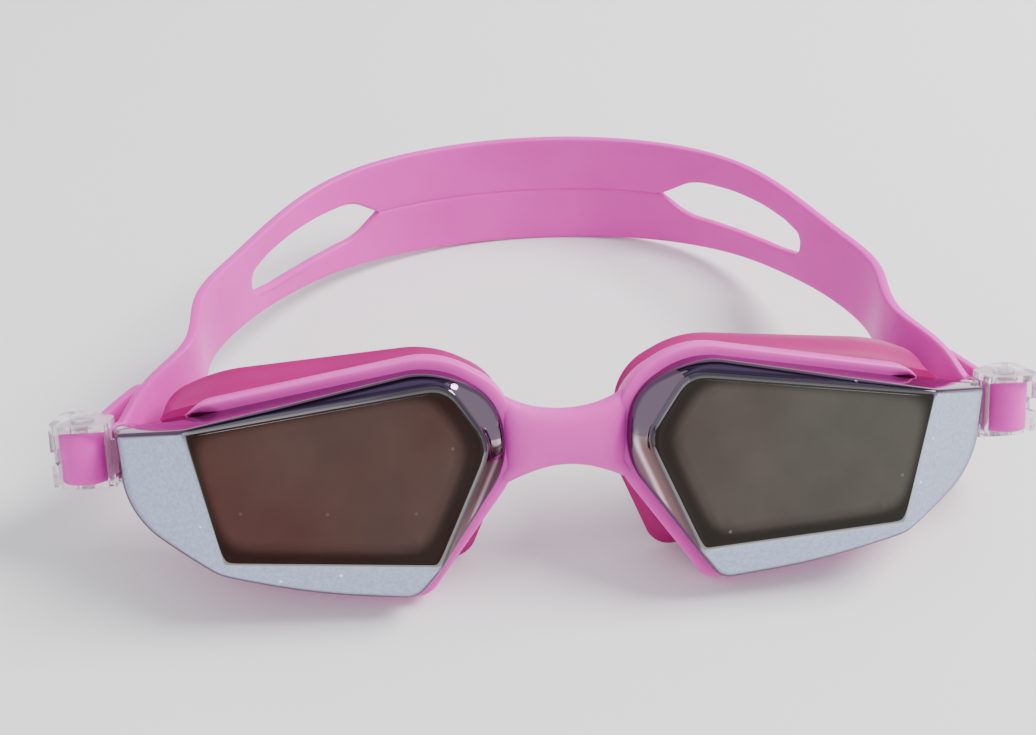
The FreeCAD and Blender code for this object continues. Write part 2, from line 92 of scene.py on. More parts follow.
seal_depth, seal_sweep = 16.0, math.tan(math.radians(6.0))
sweep_x = 10.0
rim_lip = 1.6
rim_grip = 3.0
band_end_x = 69.0
taper_from_x = 60.0
lip_end_x = 72.5
ear_reach = (75.4, 15.2)
ear_levels = [(-0.15, 1.35), (-8.35, -6.85)]
ear_radius = 2.3
pin_radius = 0.8

# ---- outlines ----


def rounded_outline(corners, steps=24):
    """Dense closed outline: straight sides joined by a tangent arc at each corner (x, z, radius)."""
    points = np.array([c[:2] for c in corners])
    parts = []
    for i, (x, z, radius) in enumerate(corners):
        here = points[i]
        to_last, to_next = points[i - 1] - here, points[(i + 1) % len(points)] - here
        last_length, next_length = np.linalg.norm(to_last), np.linalg.norm(to_next)
        to_last, to_next = to_last / last_length, to_next / next_length
        half = math.acos(float(np.clip(to_last @ to_next, -1, 1))) / 2
        cut = min(radius / math.tan(half), 0.48 * min(last_length, next_length))
        share = np.linspace(0, 1, steps)[:, None]
        start, end = here + to_last * cut, here + to_next * cut
        middle = (to_last + to_next) / np.linalg.norm(to_last + to_next)
        centre = here + middle * cut / math.cos(half)
        swing = start - centre + (end - start) * share
        arc = centre + swing / np.linalg.norm(swing, axis=1)[:, None] * cut * math.tan(half)
        parts.append(arc)
    return np.vstack(parts)


def spaced(outline, count):
    """Points evenly spaced along a closed outline."""
    closed = np.vstack([outline, outline[:1]])
    run = np.concatenate([[0], np.cumsum(np.linalg.norm(np.diff(closed, axis=0), axis=1))])
    at = np.linspace(0, run[-1], count, endpoint=False)
    return np.stack([np.interp(at, run, closed[:, k]) for k in (0, 1)], -1)


ROUND = 560
lens_turns = np.unwrap(np.arctan2(*(spaced(rounded_outline(lens_corners), ROUND) - lens_middle).T[::-1]))


def ring_of(corners, turns=lens_turns):
    """The outline's point in each direction from the lens's middle, so that all rings line up."""
    return by_direction(rounded_outline(corners), turns)


def by_direction(outline, turns=None):
    """A closed outline's reach from the lens's middle, read at each direction of the rings."""
    turns = lens_turns if turns is None else turns
    outline = spaced(outline, 3000) - lens_middle
    angle, reach = np.arctan2(outline[:, 1], outline[:, 0]), np.linalg.norm(outline, axis=1)
    order = np.argsort(angle)
    reach = np.interp(turns, angle[order], reach[order], period=2 * math.pi)
    return lens_middle + reach[:, None] * np.stack([np.cos(turns), np.sin(turns)], -1)


def moved_in(ring, distance):
    """A ring moved inwards along its own normals, which are its smoothed tangents turned a quarter."""
    along = np.roll(ring, -3, 0) - np.roll(ring, 3, 0)
    normal = np.stack([-along[:, 1], along[:, 0]], -1)
    normal /= np.linalg.norm(normal, axis=1)[:, None]
    facing = np.sign(((lens_middle - ring) * normal).sum(1).mean())
    return ring + normal * facing * np.reshape(distance, (-1, 1))


def swept(ring, depth, sweep):
    """Depth of a plane that goes back in proportion to the distance towards the temple."""
    return depth + (ring[..., 0] - sweep_x) * sweep


def at_depth(ring, depth):
    """Ring (x, z) and depth to face-frame points."""
    return np.stack([ring[..., 0], np.broadcast_to(depth, ring.shape[:-1]), ring[..., 1]], -1)


def step(value, low, high):
    """Smooth step from 0 at low to 1 at high."""
    t = np.clip((value - low) / (high - low), 0, 1)
    return t * t * (3 - 2 * t)


# ---- mesh making ----

SHARP = math.radians(50.0)


def skin(rings, loop=False, caps=True):
    """Surface through a stack of closed rings: quads between neighbours. Each end is closed by a fan
    round its middle, or the last ring joins the first when it is a loop."""
    count, size = rings.shape[:2]
    index = np.arange(count * size).reshape(count, size)
    first, second = (index, np.roll(index, -1, 0)) if loop else (index[:-1], index[1:])
    quads = np.stack([first, np.roll(first, -1, 1), np.roll(second, -1, 1), second], -1).reshape(-1, 4)
    points, faces = rings.reshape(-1, 3), quads.tolist()
    if caps and not loop:
        for row in (index[0], index[-1]):
            middle = points[row].mean(0)
            fan = np.stack([row, np.roll(row, -1), np.full(size, len(points))], -1)
            points = np.vstack([points, middle])
            faces += fan.tolist()
    return points, faces


def piece(name, shells, material, marks=None, flip=False):
    """One object out of shells of (points in table millimetres, faces), with faces turned outwards.
    Marks are named numbers on the points that the material reads. A flip is the other side's copy."""
    points, faces, base = [], [], 0
    for shell_points, shell_faces in shells:
        points.append(shell_points)
        faces += [[index + base for index in face] for face in shell_faces]
        base += len(shell_points)
    points = np.vstack(points) * MM
    if flip:
        points = points * np.array([-1.0, 1.0, 1.0])
    mesh = bpy.data.meshes.new(name)
    mesh.from_pydata(points.tolist(), [], faces)
    for mark, values in (marks or {}).items():
        attribute = mesh.attributes.new(mark, "FLOAT", "POINT")
        padded = np.zeros(len(points), np.float32)
        padded[:len(values)] = values
        attribute.data.foreach_set("value", padded)
    tidy = bmesh.new()
    tidy.from_mesh(mesh)
    bmesh.ops.remove_doubles(tidy, verts=tidy.verts, dist=0.001 * MM)
    bmesh.ops.recalc_face_normals(tidy, faces=tidy.faces)
    tidy.to_mesh(mesh)
    tidy.free()
    mesh.polygons.foreach_set("use_smooth", np.ones(len(mesh.polygons), bool))
    mesh.set_sharp_from_angle(angle=SHARP)
    mesh.materials.append(material)
    made = bpy.data.objects.new(name, mesh)
    bpy.context.scene.collection.objects.link(made)
    return made


# ---- materials ----


def new_material(name):
    material = bpy.data.materials.new(name)
    material.use_nodes = True
    tree = material.node_tree
    return material, tree, tree.nodes["Principled BSDF"]


def add(tree, kind, **settings):
    node = tree.nodes.new(kind)
    for key, value in settings.items():
        if key in node.inputs:
            node.inputs[key].default_value = value
        else:
            setattr(node, key, value)
    return node


def noise(tree, scale, detail=3.0, roughness=0.5):
    """Noise over the object's own coordinates, with scale in cells per metre."""
    place = add(tree, "ShaderNodeTexCoord")
    texture = add(tree, "ShaderNodeTexNoise", Scale=scale, Detail=detail, Roughness=roughness)
    tree.links.new(place.outputs["Object"], texture.inputs["Vector"])
    return texture


def spread(tree, source, low, high, to_low, to_high):
    """A number carried from one range to another."""
    node = add(tree, "ShaderNodeMapRange")
    for socket, value in zip(("From Min", "From Max", "To Min", "To Max"), (low, high, to_low, to_high)):
        node.inputs[socket].default_value = value
    tree.links.new(source, node.inputs["Value"])
    return node.outputs["Result"]


def blend_colours(tree, share, first, second):
    """A colour between two, which are colours or sockets."""
    node = add(tree, "ShaderNodeMix", data_type="RGBA")
    tree.links.new(share, node.inputs["Factor"])
    for socket, colour in ((node.inputs[6], first), (node.inputs[7], second)):
        if isinstance(colour, tuple):
            socket.default_value = (*colour, 1.0)
        else:
            tree.links.new(colour, socket)
    return node.outputs[2]


def silicone(name, colour, deep, roughness=0.42):
    """Moulded silicone: slow cloudiness between two pinks, a fine satin grain and some depth."""
    material, tree, shader = new_material(name)
    cloud = noise(tree, 55.0, 3.0)
    grain = noise(tree, 2600.0, 2.0)
    share = spread(tree, cloud.outputs["Fac"], 0.35, 0.7, 0.0, 1.0)
    tree.links.new(blend_colours(tree, share, colour, deep), shader.inputs["Base Color"])
    tree.links.new(spread(tree, cloud.outputs["Fac"], 0.3, 0.7, roughness - 0.05, roughness + 0.07),
                   shader.inputs["Roughness"])
    bump = add(tree, "ShaderNodeBump", Strength=0.10, Distance=0.00005)
    tree.links.new(grain.outputs["Fac"], bump.inputs["Height"])
    tree.links.new(bump.outputs["Normal"], shader.inputs["Normal"])
    shader.inputs["Subsurface Weight"].default_value = 0.25
    shader.inputs["Subsurface Radius"].default_value = (1.0, 0.5, 0.85)
    shader.inputs["Subsurface Scale"].default_value = 0.0016
    shader.inputs["Specular IOR Level"].default_value = 0.32
    return material


def mirror_coat(name):
    """Silver mirror coat, with reflections and shade painted into its colour: a bluish grainy painted
    reflection of the floor on the outer facets, a violet on the top bevel that is partly the coat's tint
    and partly a painted reflection of a dark sky, a painted dark reflection on the nose facets, a painted
    light streak on the nose side, painted shade on the side wall and in a line along the pane's edges,
    dark along the pane's border, smoky inside, with faint smears in the gloss and a few dried drops."""
    material, tree, shader = new_material(name)
    border = add(tree, "ShaderNodeAttribute", attribute_name="border")
    bevel = add(tree, "ShaderNodeAttribute", attribute_name="bevel")
    inside = add(tree, "ShaderNodeAttribute", attribute_name="inside")
    facet = add(tree, "ShaderNodeAttribute", attribute_name="facet")
    nose = add(tree, "ShaderNodeAttribute", attribute_name="nose")
    strip = add(tree, "ShaderNodeAttribute", attribute_name="strip")
    wall = add(tree, "ShaderNodeAttribute", attribute_name="wall")
    shade = add(tree, "ShaderNodeAttribute", attribute_name="shade")
    smear = noise(tree, 90.0, 4.0)
    # fine grain for the painted reflection of the floor's texture on the outer facets
    reflection_grain = noise(tree, 1500.0, 3.0, 0.65)
    place = add(tree, "ShaderNodeTexCoord")
    cells = add(tree, "ShaderNodeTexVoronoi", Scale=230.0)
    tree.links.new(place.outputs["Object"], cells.inputs["Vector"])
    silver = blend_colours(tree, spread(tree, smear.outputs["Fac"], 0.35, 0.7, 0.0, 1.0),
                           (0.52, 0.50, 0.50), (0.60, 0.58, 0.57))
    # painted reflection: the pale floor's bluish white, with grain, on the outer facets
    painted_floor_reflection = blend_colours(tree, spread(tree, reflection_grain.outputs["Fac"], 0.35, 0.62, 0.0, 1.0),
                            (0.30, 0.35, 0.48), (0.38, 0.445, 0.60))
    colour = blend_colours(tree, facet.outputs["Fac"], silver, painted_floor_reflection)
    # violet on the top bevel: partly the coat's own tint, partly a painted reflection of a dark sky
    colour = blend_colours(tree, bevel.outputs["Fac"], colour, (0.26, 0.20, 0.29))
    # painted reflection: dark brown on the nose facets
    colour = blend_colours(tree, nose.outputs["Fac"], colour, (0.16, 0.095, 0.095))
    # painted highlight: a light pinkish streak along the nose side, past the pane
    colour = blend_colours(tree, strip.outputs["Fac"], colour, (0.62, 0.47, 0.54))
    # painted shade: dark purple on the side wall, which runs in under the rim
    colour = blend_colours(tree, wall.outputs["Fac"], colour, (0.13, 0.075, 0.13))
    colour = blend_colours(tree, shade.outputs["Fac"], colour, (0.06, 0.055, 0.065))
    colour = blend_colours(tree, border.outputs["Fac"], colour, (0.10, 0.10, 0.10))
    colour = blend_colours(tree, inside.outputs["Fac"], colour, (0.05, 0.045, 0.06))
    drops = spread(tree, cells.outputs["Distance"], 0.05, 0.085, 1.0, 0.0)
    rare = spread(tree, cells.outputs["Color"], 0.70, 0.72, 0.0, 1.0)
    dotted = add(tree, "ShaderNodeMath", operation="MULTIPLY")
    tree.links.new(drops, dotted.inputs[0])
    tree.links.new(rare, dotted.inputs[1])
    colour = blend_colours(tree, dotted.outputs[0], colour, (0.85, 0.86, 0.88))
    tree.links.new(colour, shader.inputs["Base Color"])
    tree.links.new(spread(tree, inside.outputs["Fac"], 0.0, 1.0, 1.0, 0.25), shader.inputs["Metallic"])
    tree.links.new(spread(tree, smear.outputs["Fac"], 0.3, 0.75, 0.04, 0.09), shader.inputs["Roughness"])
    return material


def clear_plastic(name, tint, roughness=0.06):
    """Clear moulded plastic with slight flow marks."""
    material, tree, shader = new_material(name)
    flow = noise(tree, 260.0, 3.0)
    colour = blend_colours(tree, flow.outputs["Fac"], tint, tuple(min(1.0, c * 1.06) for c in tint))
    tree.links.new(colour, shader.inputs["Base Color"])
    tree.links.new(spread(tree, flow.outputs["Fac"], 0.3, 0.7, roughness * 0.6, roughness * 1.6),
                   shader.inputs["Roughness"])
    bump = add(tree, "ShaderNodeBump", Strength=0.15, Distance=0.0001)
    tree.links.new(flow.outputs["Fac"], bump.inputs["Height"])
    tree.links.new(bump.outputs["Normal"], shader.inputs["Normal"])
    shader.inputs["Transmission Weight"].default_value = 0.92
    shader.inputs["IOR"].default_value = 1.46
    return material


frame_silicone = silicone("frame_silicone", (0.80, 0.070, 0.52), (0.76, 0.058, 0.475))
seal_silicone = silicone("seal_silicone", (0.41, 0.004, 0.165), (0.36, 0.003, 0.14), 0.48)
strap_silicone = silicone("strap_silicone", (0.77, 0.052, 0.50), (0.72, 0.042, 0.455), 0.45)
lens_coat = mirror_coat("lens_mirror_coat")
clip_plastic = clear_plastic("clip_clear_plastic", (0.93, 0.88, 0.93))
pin_plastic = clear_plastic("pin_clear_plastic", (0.95, 0.92, 0.95), 0.10)

# ---- lens ----

edge_along = np.roll(pane, -1, 0) - pane
edge_out = np.stack([edge_along[:, 1], -edge_along[:, 0]], -1)
edge_out /= np.linalg.norm(edge_out, axis=1)[:, None]
edge_out *= np.sign(((pane - lens_middle) * edge_out).sum(1))[:, None]
ridge_share = np.array([0.15, 0.1, 1.0, 1.0, 1.0])      # how much each pane edge has a raised line
window_inset = np.array([0.9, 2.6, 2.9, 2.6, 0.9])      # dark border inside each pane edge
nose_corners = pane[[3, 4]]
line_height = 0.16                                      # of the double line round the pane
bevel_bow = 0.11                                        # how fast the top bevel steepens, per mm


def outside_pane(points):
    """Signed distance of each point beyond each of the pane's five edges."""
    return np.einsum("...ek,ek->...e", points[..., None, :] - pane, edge_out)


def soft_max(values, width):
    """Largest of the last axis, rounded over a width: the log of the sum of exponentials."""
    width = np.asarray(width, float)
    scaled = np.clip(values / width[..., None], -300, 300)
    return width * np.log(np.exp(scaled).sum(-1))


def corner_width(points, least, most):
    """Rounding width between facets: greatest at the pane's two nose corners, with a Gaussian fall."""
    away = np.linalg.norm(points[..., None, :] - nose_corners, axis=-1).min(-1)
    return least + (most - least) * np.exp(-(away / 6.0) ** 2)


def lens_front(points):
    """Depth of the lens's front: zero on the pane, and past each edge its distance times the tangent
    of that facet's slope, with the top one bowed by a square term. The greatest one counts, rounded
    where two meet. A low double line is raised along the pane's nose and top edges."""
    beyond = outside_pane(points)
    rises = beyond * np.tan(facet_slopes)
    rises[..., 4] += bevel_bow * np.clip(beyond[..., 4], 0, None) * (np.clip(beyond[..., 4], 0, None) - 2.4)
    joined = soft_max(rises, corner_width(points, 0.4, 1.3))
    depth = soft_max(np.stack([joined, np.zeros_like(joined)], -1), 0.16)
    nearest = np.exp(np.clip(beyond / 0.8, -60, 60))
    raised = (nearest * ridge_share).sum(-1) / nearest.sum(-1)
    edge = soft_max(beyond, corner_width(points, 0.12, 1.2))
    line = np.exp(-((edge - 0.55) / 0.30) ** 2) + 0.55 * np.exp(-((edge + 0.45) / 0.28) ** 2)
    return depth - line_height * raised * line


def lens_shell():
    """Rings from the pane's middle out over the bevels, round the edge, back along the side wall, and
    inside again to the middle of the inner face."""
    outer, inner_pane = ring_of(lens_corners), ring_pane
    rings, inside = [], []
    for share in (0.03, 0.2, 0.4, 0.55, 0.68, 0.78, 0.84, 0.88, 0.91, 0.93, 0.945, 0.96, 0.97, 0.98, 0.99, 1.0):
        ring = lens_middle + (inner_pane - lens_middle) * share
        rings.append(at_depth(ring, lens_front(ring)))
        inside.append(0.0)
    edge_round = np.minimum(0.7, 0.45 * np.linalg.norm(outer - inner_pane, axis=1))
    last = moved_in(outer, edge_round)
    gap = np.linalg.norm(last - inner_pane, axis=1)
    near = np.array([0.12, 0.24, 0.36, 0.48, 0.60, 0.72, 0.86, 1.05, 1.3])
    shares = [np.minimum(reach / np.maximum(gap, 0.05), 0.075 * (i + 1)) for i, reach in enumerate(near)]
    shares += [shares[-1] + (1 - shares[-1]) * t for t in np.linspace(0, 1, 12)[1:]]
    for share in shares:
        ring = inner_pane + (last - inner_pane) * share[:, None]
        rings.append(at_depth(ring, lens_front(ring)))
        inside.append(0.0)
    bevel_end, front_count = rings[-1], len(rings)
    corner = at_depth(outer, lens_front(outer))
    wall = corner + np.array([0.0, 0.9, 0.0])
    for t in np.linspace(0, 1, 9)[1:]:
        rings.append((1 - t) ** 2 * bevel_end + 2 * t * (1 - t) * corner + t * t * wall)
        inside.append(0.0)
    back = swept(outer, lens_depth, lens_sweep)
    for t in (0.33, 0.66, 1.0):
        rings.append(at_depth(outer, wall[:, 1] + (back - 0.2 - wall[:, 1]) * t))
        inside.append(0.0)
    # the side wall's mark, where the coat paints shade under the rim
    wall_marks = [0.0] * (front_count - 1) + [0.5] + [1.0] * (len(rings) - front_count)
    hollow = moved_in(outer, lens_wall)
    hollow[:, 0] = np.minimum(hollow[:, 0], 69.9)
    hollow = by_direction(hollow)
    rings.append(at_depth(moved_in(outer, 0.2), back))
    rings.append(at_depth(moved_in(hollow, -0.2), back))
    inside += [0.3, 1.0]
    ceiling = np.minimum(lens_front(hollow) + lens_wall * 1.15, back - 0.7)
    for t in (0.03, 0.5, 0.95):
        rings.append(at_depth(hollow, back - 0.2 + (ceiling - back + 0.2) * t))
        inside.append(1.0)
    for share in (0.97, 0.9, 0.8, 0.7, 0.6, 0.45, 0.25, 0.03):
        ring = lens_middle + (hollow - lens_middle) * share
        depth = np.minimum(lens_front(ring) + lens_wall * 1.15, swept(ring, lens_depth, lens_sweep) - 0.7)
        rings.append(at_depth(ring, depth))
        inside.append(1.0)
    wall_marks += [0.0] * (len(rings) - len(wall_marks))
    return np.array(rings), np.repeat(inside, ROUND), np.repeat(wall_marks, ROUND)


# the pane's outline in the rings' own directions, with its nose corners rounder than the rest
ring_pane = ring_of([(x, z, radius) for (x, z), radius in zip(pane, (1.2, 1.2, 1.2, 3.2, 3.2))])


def lens_marks(points, inside, wall):
    """Where the lens is bordered, bevelled, faceted, on its side wall or inside, as shares from 0 to
    1, by which the coat paints reflections, a highlight and shade. The light streak on the nose side, a painted
    highlight, is a Gaussian of the distance past the pane."""
    flat = points[..., [0, 2]]
    beyond = outside_pane(flat)
    edge = soft_max(beyond, corner_width(flat, 0.12, 1.2))
    window = soft_max(beyond + window_inset, 1.8)
    border = step(window, -1.2, 1.0) * (1 - step(edge, -0.25, 0.05))
    nearest = np.exp(np.clip(beyond / 0.4, -80, 80))
    nearest /= nearest.sum(-1)[..., None]
    outer = step(edge, -0.15, 0.1) * (1 - inside)
    # bevel, facet and nose place painted reflections, strip a painted highlight, wall and shade painted shade
    return {"border": border * (1 - inside) * 0.8, "bevel": outer * (nearest[..., 4] + nearest[..., 3]),
            "facet": outer * (nearest[..., 0] + nearest[..., 1]), "inside": inside, "wall": wall,
            "nose": outer * (nearest[..., 2] + 0.35 * nearest[..., 3]) * step(edge, 0.05, 0.35),
            "shade": 0.85 * nearest[..., 2:].sum(-1) * np.exp(-((edge - 0.2) / 0.45) ** 4) * (1 - inside),
            "strip": nearest[..., 2] * np.exp(-((edge - 2.3) / 0.35) ** 2) * (1 - inside)}


def plate_with_eye(low, high):
    """A small ear: a flat arm that ends in a round eye, from one height to another, edges rounded.
    Each ring runs round the outline, then back round the bore."""
    x, y = ear_reach
    turns = np.linspace(-math.pi / 2, math.pi, 60)
    eye = np.stack([x + ear_radius * np.cos(turns), y + ear_radius * np.sin(turns)], -1)
    arm = np.array([(x - ear_radius, y - 1.0), (73.0, 11.6), (72.9, 10.6), (75.3, 10.4)])
    outline = spaced(np.vstack([eye, arm]), 120)
    middle = np.array([x, y])
    direction = (outline - middle) / np.linalg.norm(outline - middle, axis=1)[:, None]
    bore = middle + direction * pin_radius
    rings = []
    for cut, height in ((0.25, low), (0.0, low + 0.25), (0.0, high - 0.25), (0.25, high)):
        shape = outline - direction * cut
        rings.append(np.column_stack([shape, np.full(len(shape), height)]))
    rings.append(np.column_stack([bore, np.full(len(bore), high)]))
    rings.append(np.column_stack([bore, np.full(len(bore), low)]))
    return skin(to_table(np.array(rings)), loop=True)


lens_rings, lens_inside, lens_walls = lens_shell()
for side, other in (("left", False), ("right", True)):
    lens_points, lens_faces = skin(to_table(lens_rings))
    marks = lens_marks(lens_rings.reshape(-1, 3), lens_inside, lens_walls)
    shells = [(lens_points, lens_faces)] + [plate_with_eye(*level) for level in ear_levels]
    made = piece("mirror_lens_" + side, shells, lens_coat, marks, other)
    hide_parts("lens_" + side)
    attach(made, "front")

# ---- soft frame: two rims and the nose bridge, one skin ----


def rim_shell():
    """The rim's section is an L with rounded edges: a band round the lens's wall, and a lip behind it.
    Towards the temple the band thins and its front runs back to the lip."""
    outer, wall = ring_of(rim_corners), ring_of(lens_corners)
    band = 1 - step(outer[:, 0], taper_from_x, band_end_x + 1.8)
    outer = wall + (outer - wall) * (1.25 * band - 0.25)[:, None]
    opening = moved_in(wall, 2.6)
    outer[:, 0] = np.minimum(outer[:, 0], lip_end_x)
    wall_in = moved_in(wall, 0.05)
    wall_in = wall_in + (moved_in(outer, 0.35) - wall_in) * (1 - band)[:, None]
    wall_in[:, 0] = np.minimum(wall_in[:, 0], lip_end_x - 0.3)
    opening[:, 0] = np.minimum(opening[:, 0], lip_end_x - 2.6)
    opening = by_direction(opening)
    lens_back = swept(outer, lens_depth, lens_sweep)
    front = lens_back - rim_grip * band + 0.35 * (1 - band)
    back = lens_back + rim_lip
    thick = np.linalg.norm(outer - wall_in, axis=1)
    ease = np.minimum(0.4, thick * 0.45)
    section = [(moved_in(outer, ease), front), (moved_in(outer, ease * 0.3), front + ease * 0.3),
               (outer, front + ease), (outer, back - 0.4), (moved_in(outer, 0.12), back - 0.12),
               (moved_in(outer, 0.4), back), (opening, back), (opening, lens_back + 0.05),
               (wall_in, lens_back + 0.05), (wall_in, front + 0.12)]
    rings = []
    for (ring, depth), (next_ring, next_depth) in zip(section, section[1:] + section[:1]):
        for t in (0.0, 0.5):
            rings.append(at_depth(ring + (next_ring - ring) * t, depth + (next_depth - depth) * t))
    return np.array(rings)


def bridge_shell():
    """A bar from rim to rim. Its top and bottom are parabolas that open towards the rims, its section
    is a superellipse, and its ends follow the nose side of the lenses."""
    across = np.linspace(-1, 1, 61)[:, None]
    around = np.linspace(0, 2 * math.pi, 80, endpoint=False)[None, :]
    open_out = across ** 2 * 0.7 + across ** 4 * 0.3
    top, bottom = 2.4 + 3.6 * open_out, -7.4 - 5.2 * open_out
    swell = np.sign(np.sin(around)) * np.abs(np.sin(around)) ** 0.72
    height = (top + bottom) / 2 + (top - bottom) / 2 * swell
    depth_swell = np.sign(np.cos(around)) * np.abs(np.cos(around)) ** 0.72
    depth = 7.0 - 2.9 * depth_swell * (1 - 0.45 * across ** 6) + 0.5 * across ** 2
    end = np.interp(height, [-13.0, -6.9, 4.9, 7.0], [14.9, 10.6, 11.3, 12.9])
    return np.stack([across * end, depth + 0 * height, height], -1)


rim = rim_shell()
rim_points, rim_faces = skin(to_table(rim), loop=True)
bridge_points, bridge_faces = skin(to_table(bridge_shell()))
mirror_x = np.array([-1.0, 1.0, 1.0])
soft_frame = piece("soft_frame_skin", [(rim_points, rim_faces), (rim_points * mirror_x, [f[::-1] for f in rim_faces]),
                                       (bridge_points, bridge_faces)], frame_silicone)
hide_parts("soft_frame")
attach(soft_frame, "front")

# ---- eye seals ----


def seal_shell():
    """A skirt from the rim's lip to the face. Outside, it pinches in behind the rim and then flares to
    its edge, inside it is one smooth funnel, and the edge is a thin rounded lip. All rings are the
    root and edge outlines blended by a share, then moved in by the skirt's thickness."""
    root, edge = ring_of(root_corners), ring_of(edge_corners)
    root_depth = swept(root, lens_depth + rim_lip, lens_sweep)
    edge_depth = swept(edge, seal_depth, seal_sweep)
    rings = []

    def at(share, back, thick):
        ring = moved_in(root + (edge - root) * share, thick)
        rings.append(at_depth(ring, root_depth + (edge_depth - root_depth) * back))

    for back in np.linspace(0, 0.86, 13):
        pinch = 0.55 * math.sin(math.pi * min(1.0, back / 0.55)) ** 2
        at(back ** 1.5, back, 0.05 + pinch)
    for turn in np.linspace(0, math.pi, 11)[1:-1]:
        at(0.92 + 0.08 * math.sin(turn), 0.88 + 0.12 * math.sin(turn), 0.75 - 0.73 * math.cos(turn))
    for back in np.linspace(0.84, 0, 12):
        at(back ** 1.5, back, 1.5 + 0.2 * (1 - back))
    return np.array(rings)


seal_points, seal_faces = skin(to_table(seal_shell()), loop=True)
for side, other in (("left", False), ("right", True)):
    made = piece("eye_seal_skirt_" + side, [(seal_points, seal_faces)], seal_silicone, flip=other)
    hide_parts("eye_seal_" + side)
    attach(made, "front")

# ---- strap path ----

strap_rows = [(67.1, 30.4, 23.7, 5.2, 24.1), (66.7, 43.1, 22.5, 6.9, 14.3), (62.5, 57.2, 20.7, 7.7, 9.0),
              (56.4, 71.9, 17.8, 9.2, 9.0), (45.8, 87.0, 15.4, 11.2, 9.0), (24.5, 99.3, 13.3, 12.4, 9.0),
              (0.0, 102.8, 12.75, 12.75, 9.0)]    # x, y, height, half width, lean back in degrees
strap_drift = 6.6
strap_thick = 2.0
strand_width = 9.4
strand_mid = -3.5
post = np.array([83.2, 16.6])
loop_radius = 3.18
strand_lean = math.radians(35.0)
strand = np.array([-math.sin(strand_lean), math.cos(strand_lean)])
outward = np.array([math.cos(strand_lean), math.sin(strand_lean)])
tail_tip = np.array([73.4, 32.8, 2.4])
slot_span = {1: (68.2, 97.6), -1: (61.3, 93.6)}   # each slot's temple end and pointed tip, as y
slot_half = 4.8


def spline(knots, values, at):
    """Natural cubic through values at knots: the second derivatives solve a banded system."""
    knots, values = np.asarray(knots, float), np.asarray(values, float)
    gaps = np.diff(knots)
    matrix = np.eye(len(knots))
    right = np.zeros_like(values)
    rows = np.arange(1, len(knots) - 1)
    matrix[rows, rows - 1] = gaps[:-1]
    matrix[rows, rows] = 2 * (gaps[:-1] + gaps[1:])
    matrix[rows, rows + 1] = gaps[1:]
    slopes = np.diff(values, axis=0) / gaps[:, None]
    right[1:-1] = 6 * (slopes[1:] - slopes[:-1])
    bends = np.linalg.solve(matrix, right)
    span = np.clip(np.searchsorted(knots, at) - 1, 0, len(gaps) - 1)
    h = gaps[span][:, None]
    a = ((knots[span + 1] - at)[:, None]) / h
    b = 1 - a
    return (a * values[span] + b * values[span + 1]
            + ((a ** 3 - a) * bends[span] + (b ** 3 - b) * bends[span + 1]) * h ** 2 / 6)


def in_clip(flat, side, height=strand_mid):
    """A point of the clip's plan (x, y) at a height up the face, over the table."""
    return to_table(np.array([side * flat[0], flat[1], height]))


def strap_row(x, y, z, half, lean):
    drifted = x + strap_drift * (y / strap_rows[-1][1]) ** 2
    return np.array([drifted, y + face_origin[1], z - 0.15, half, lean])


def neck_rows(side):
    """Rows from inside the clip up to the first row of the band."""
    near = post - outward * loop_radius
    first = strap_row(side * strap_rows[0][0], *strap_rows[0][1:])
    start = in_clip(near + strand * 6.0, side)
    before = in_clip(near + strand * 4.0, side)
    middle = start + (first[:3] - start) * 0.5 + np.array([0.35 * side, 0.0, 0.4])
    half = strand_width / 2
    return [np.array([*before, half, face_tilt]), np.array([*start, half, face_tilt]),
            np.array([*middle, half + 0.05, (face_tilt + first[4]) / 2])]


all_rows = neck_rows(1) + [strap_row(*row) for row in strap_rows]
all_rows += [strap_row(-row[0], *row[1:]) for row in strap_rows[-2::-1]] + neck_rows(-1)[::-1]
all_rows = np.array(all_rows)
row_run = np.concatenate([[0], np.cumsum(np.linalg.norm(np.diff(all_rows[:, :3], axis=0), axis=1))])
SEAM_LEFT, SEAM_RIGHT = row_run[3], row_run[-4]


def band_frame(run):
    """Centre, along, width and outward directions, and half width, at distances along the strap."""
    run = np.asarray(run, float)
    rows = spline(row_run, all_rows, run)
    ahead, behind = (spline(row_run, all_rows, np.clip(run + d, 0, row_run[-1]))[:, :3] for d in (0.2, -0.2))
    along = (ahead - behind) / np.linalg.norm(ahead - behind, axis=1)[:, None]
    lean = np.radians(rows[:, 4])
    wide = np.stack([np.zeros_like(lean), np.sin(lean), np.cos(lean)], -1)
    wide -= along * (wide * along).sum(1)[:, None]
    wide /= np.linalg.norm(wide, axis=1)[:, None]
    return rows[:, :3], along, wide, np.cross(wide, along), rows[:, 3]


# ---- head strap ----

slot_shares = np.linspace(0, 1, 200)
slot_top = np.interp(slot_shares, [0, 0.012, 0.05, 0.2, 0.42, 0.66, 0.84, 0.9, 1.0],
                     [-0.12, 0.22, 0.44, 0.68, 0.84, 0.92, 0.92, 0.78, 0.0])
slot_bottom = np.interp(slot_shares, [0, 0.012, 0.05, 0.25, 0.5, 0.7, 0.86, 0.92, 1.0],
                        [-0.12, -0.42, -0.62, -0.88, -1.02, -1.04, -0.96, -0.72, 0.0])


def slot_edges(y, side):
    """Lower and upper edge of the slot on one side, as distances from the strap's middle."""
    start, end = slot_span[side]
    share = np.clip((y - start) / (end - start), 0, 1)
    kernel = np.ones(9) / 9
    edges = []
    for shape in (slot_bottom, slot_top):
        soft = np.convolve(np.pad(shape, 4, mode="edge"), kernel, mode="valid")
        soft[:3], soft[-3:] = shape[:3], shape[-3:]
        edges.append(np.interp(share, slot_shares, soft) * slot_half)
    return edges


